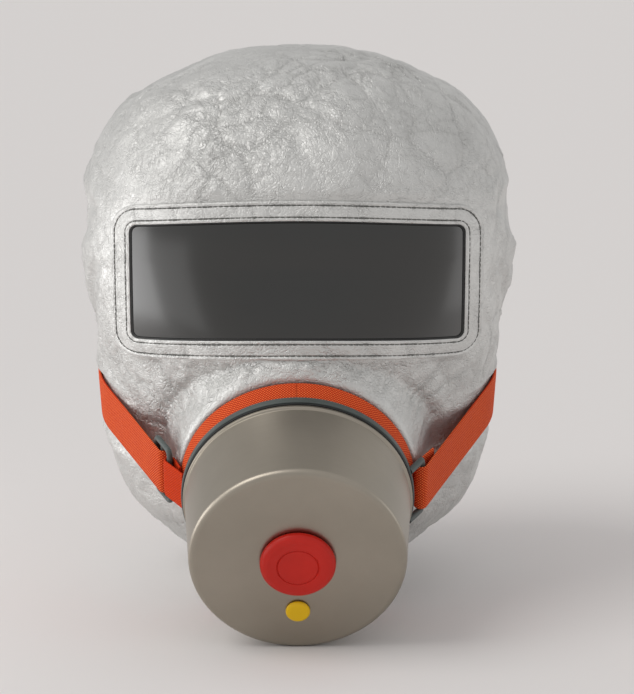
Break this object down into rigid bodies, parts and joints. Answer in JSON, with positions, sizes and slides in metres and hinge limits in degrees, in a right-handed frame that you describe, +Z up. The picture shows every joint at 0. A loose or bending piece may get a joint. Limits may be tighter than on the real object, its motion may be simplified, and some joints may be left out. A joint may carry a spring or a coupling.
{
  "type": "smoke hood",
  "caption": "Aluminised fabric escape hood with a wide tinted visor, a tilted steel filter canister, an inner half mask and an orange webbing head strap.",
  "frame": {"origin": "centre of the object's footprint, on the surface that its neck hem and canister stand on", "axes": "+Z up, the wearer looks along -Y, +X is the wearer's left"},
  "size_m": [0.2206, 0.282, 0.278],
  "materials": {
    "hood_fabric": "wrinkled aluminised cloth",
    "visor": "dark tinted film, glossy",
    "black_rubber": "matt",
    "canister_steel": "fine brushed",
    "inner_steel": "plain rolled",
    "grey_plastic": "moulded, fine texture",
    "webbing": "woven polyester",
    "red_rubber": "satin",
    "yellow_plastic": "satin",
    "silicone": "soft matt",
    "valve_silicone": "milky",
    "elastic": "knitted",
    "filter_media": "fibrous",
    "carbon": "granular"
  },
  "bodies": {
    "root": {"hood_shell": "hood_fabric", "visor_pane": "visor", "visor_gasket": "black_rubber", "visor_frame": "hood_fabric", "visor_inner_binding": "hood_fabric", "neck_hem": "hood_fabric", "neck_elastic": "elastic", "canister_can": "canister_steel", "canister_rear_cover": "canister_steel", "canister_gasket": "black_rubber", "wave_spring": "inner_steel", "rear_plate": "inner_steel", "dust_felt": "filter_media", "carbon_bed": "carbon", "bed_screen": "inner_steel", "particle_filter": "filter_media", "front_plate": "inner_steel", "collar_ring": "grey_plastic", "collar_band": "webbing", "clamp_nut": "grey_plastic", "half_mask": "silicone", "mask_clamp": "inner_steel", "exhale_seat_right": "grey_plastic", "exhale_cover_right": "grey_plastic", "exhale_seat_left": "grey_plastic", "exhale_cover_left": "grey_plastic", "buckle_tab": "webbing", "head_strap": "webbing"},
    "inlet_plug": {"inlet_plug": "red_rubber"},
    "test_port_plug": {"test_port_plug": "yellow_plastic"},
    "outlet_plug": {"outlet_plug": "red_rubber"},
    "exhale_flap_right": {"exhale_flap_right": "valve_silicone"},
    "exhale_flap_left": {"exhale_flap_left": "valve_silicone"},
    "buckle": {"strap_buckle": "grey_plastic", "strap_end": "webbing"}
  },
  "joints": [
    {"name": "inlet_plug_pull", "type": "slide", "parent": "root", "child": "inlet_plug", "axis": [0, -0.9272, -0.3746], "range_m": [0, 0.03]},
    {"name": "test_port_plug_pull", "type": "slide", "parent": "root", "child": "test_port_plug", "axis": [0, -0.9272, -0.3746], "range_m": [0, 0.02]},
    {"name": "outlet_plug_pull", "type": "slide", "parent": "root", "child": "outlet_plug", "axis": [0, 0.9272, 0.3746], "range_m": [0, 0.03]},
    {"name": "exhale_flap_right_open", "type": "hinge", "parent": "root", "child": "exhale_flap_right", "pos_m": [-0.0438, -0.02131, 0.09548], "axis": [0, 0.9272, 0.3746], "range_deg": [0, 15], "stiffness_Nm_per_rad": 0.002},
    {"name": "exhale_flap_left_open", "type": "hinge", "parent": "root", "child": "exhale_flap_left", "pos_m": [0.0438, -0.02131, 0.09548], "axis": [0, -0.9272, -0.3746], "range_deg": [0, 15], "stiffness_Nm_per_rad": 0.002},
    {"name": "buckle_swing", "type": "hinge", "parent": "root", "child": "buckle", "pos_m": [-0.0628, -0.05771, 0.07344], "axis": [0, -0.3746, 0.9272], "range_deg": [0, 20], "stiffness_Nm_per_rad": 0.02}
  ]
}
